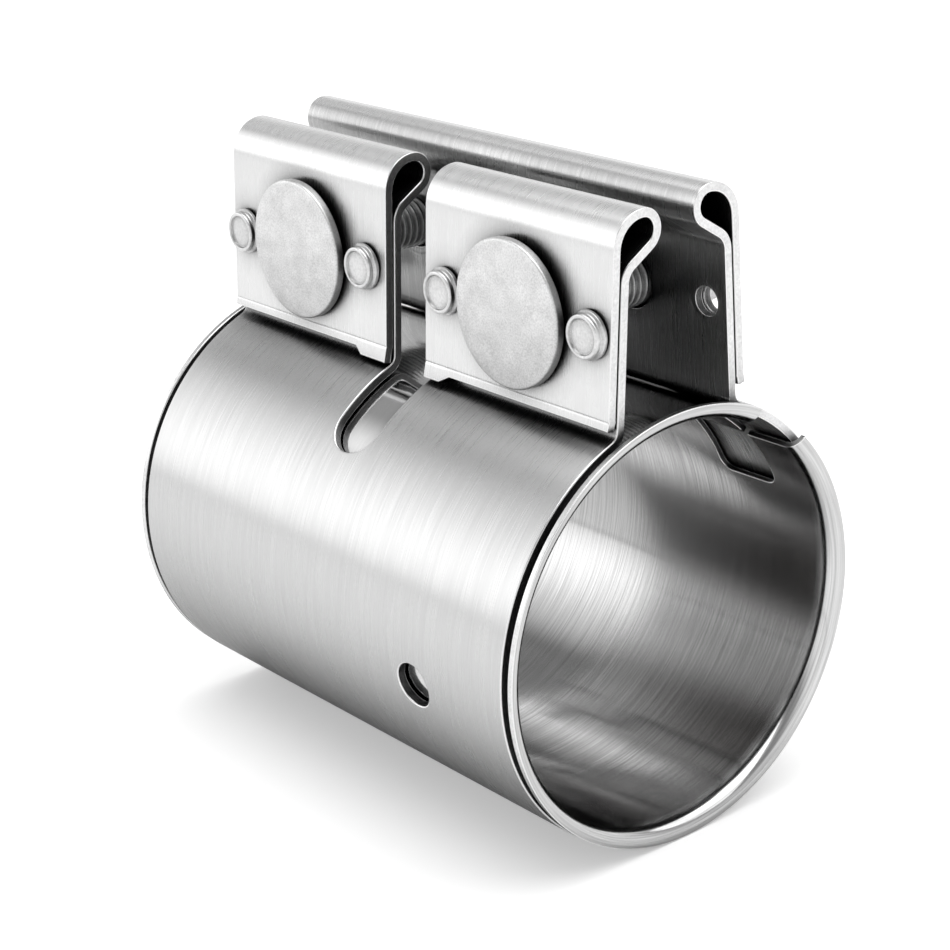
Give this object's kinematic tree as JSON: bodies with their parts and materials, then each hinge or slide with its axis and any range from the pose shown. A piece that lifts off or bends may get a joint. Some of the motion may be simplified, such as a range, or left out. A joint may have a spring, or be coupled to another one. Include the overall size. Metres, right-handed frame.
{
  "type": "exhaust pipe connector",
  "caption": "Wide bolted clamp connector that joins exhaust pipes end to end: a split inner sleeve with interlocking tongues inside a band whose ends fold up into looped lugs.",
  "frame": {"origin": "the middle of the bore, on the pipes' axis", "axes": "+X along the bore towards the end with the locating hole, +Z from the axis up to the lugs, +Y from the bolt heads to the nuts"},
  "size_m": [0.0944, 0.068, 0.0988],
  "materials": {
    "band_steel": "stainless sheet, brushed round the pipe",
    "sleeve_steel": "stainless sheet, brushed round the pipe",
    "zinc_plated_steel": "matt zinc plating",
    "rivet_steel": "pressed steel, satin"
  },
  "bodies": {
    "connector": {"clamp_band": "band_steel", "inner_sleeve": "sleeve_steel", "bolt_left": "zinc_plated_steel", "bolt_right": "zinc_plated_steel", "rivet_left_outer": "rivet_steel", "rivet_left_inner": "rivet_steel", "rivet_right_inner": "rivet_steel", "rivet_right_outer": "rivet_steel"},
    "washer_left": {"washer_left": "zinc_plated_steel"},
    "nut_left": {"nut_left": "zinc_plated_steel"},
    "washer_right": {"washer_right": "zinc_plated_steel"},
    "nut_right": {"nut_right": "zinc_plated_steel"}
  },
  "joints": [
    {"name": "washer_left_slide", "type": "slide", "parent": "connector", "child": "washer_left", "axis": [0, 1, 0], "range_m": [0, 0.0047]},
    {"name": "nut_left_spin", "type": "hinge", "parent": "washer_left", "child": "nut_left", "pos_m": [-0.02535, 0.0185, 0.0464], "axis": [0, 1, 0], "range_deg": [0, 1350]},
    {"name": "washer_right_slide", "type": "slide", "parent": "connector", "child": "washer_right", "axis": [0, 1, 0], "range_m": [0, 0.0047]},
    {"name": "nut_right_spin", "type": "hinge", "parent": "washer_right", "child": "nut_right", "pos_m": [0.02535, 0.0185, 0.0464], "axis": [0, 1, 0], "range_deg": [0, 1350]}
  ],
  "couplings": [
    {"joint": "washer_left_slide", "follows": "nut_left_spin", "m_per_rad": 0.00019894},
    {"joint": "washer_right_slide", "follows": "nut_right_spin", "m_per_rad": 0.00019894}
  ]
}
